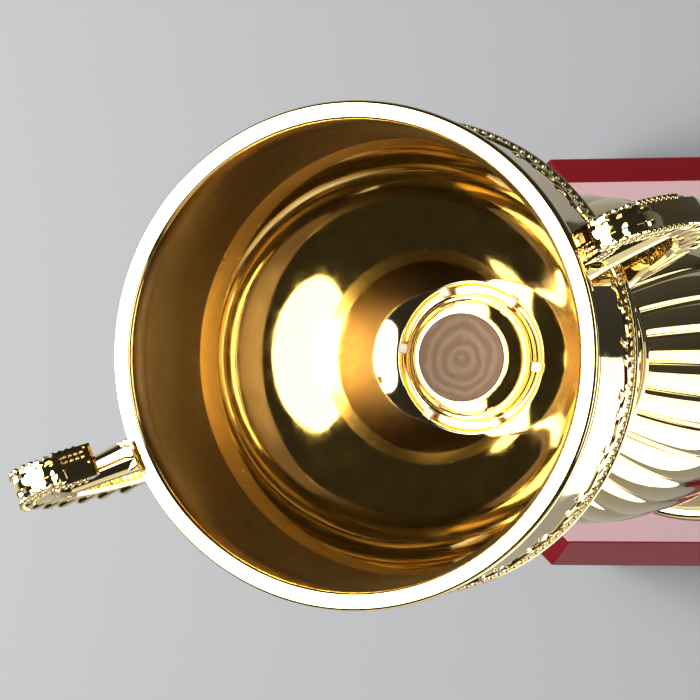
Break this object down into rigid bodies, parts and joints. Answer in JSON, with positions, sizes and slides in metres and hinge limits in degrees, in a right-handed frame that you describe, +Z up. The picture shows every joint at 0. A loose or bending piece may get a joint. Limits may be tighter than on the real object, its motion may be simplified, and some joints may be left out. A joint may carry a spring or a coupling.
{
  "type": "cup trophy",
  "caption": "Gold-plated cup trophy with scroll handles, a fluted vase body and a dark red gloss base with cut corners.",
  "frame": {"origin": "centre of the underside of the feet, on the surface the trophy stands on", "axes": "+Z up along the cup's axis; the handles stand along +X and -X, and the base is turned 22 degrees from them"},
  "size_m": [0.1266, 0.104, 0.2861],
  "materials": {
    "gold_plating": "vacuum-plated, mirror",
    "bare_abs": "bare cut ABS",
    "satin_foil": "satin",
    "red_gloss": "high gloss",
    "black_plastic": "fine texture",
    "cast_iron": "as cast",
    "zinc_steel": "zinc plated",
    "soft_pad": "matte"
  },
  "bodies": {
    "root": {"cup_bowl": "gold_plating", "bowl_gate_stubs": "bare_abs", "handle_right": "gold_plating", "handle_left": "gold_plating", "nut_cap": "gold_plating", "cap_disc": "satin_foil", "neck_collar": "gold_plating", "fluted_body": "gold_plating", "foot": "gold_plating", "base_shell": "red_gloss", "base_cover": "black_plastic", "base_weight": "cast_iron", "tie_rod": "zinc_steel", "top_nut": "zinc_steel", "top_washer": "zinc_steel", "bottom_nut": "zinc_steel", "bottom_washer": "zinc_steel", "cover_screws": "zinc_steel", "feet": "soft_pad"}
  },
  "joints": []
}
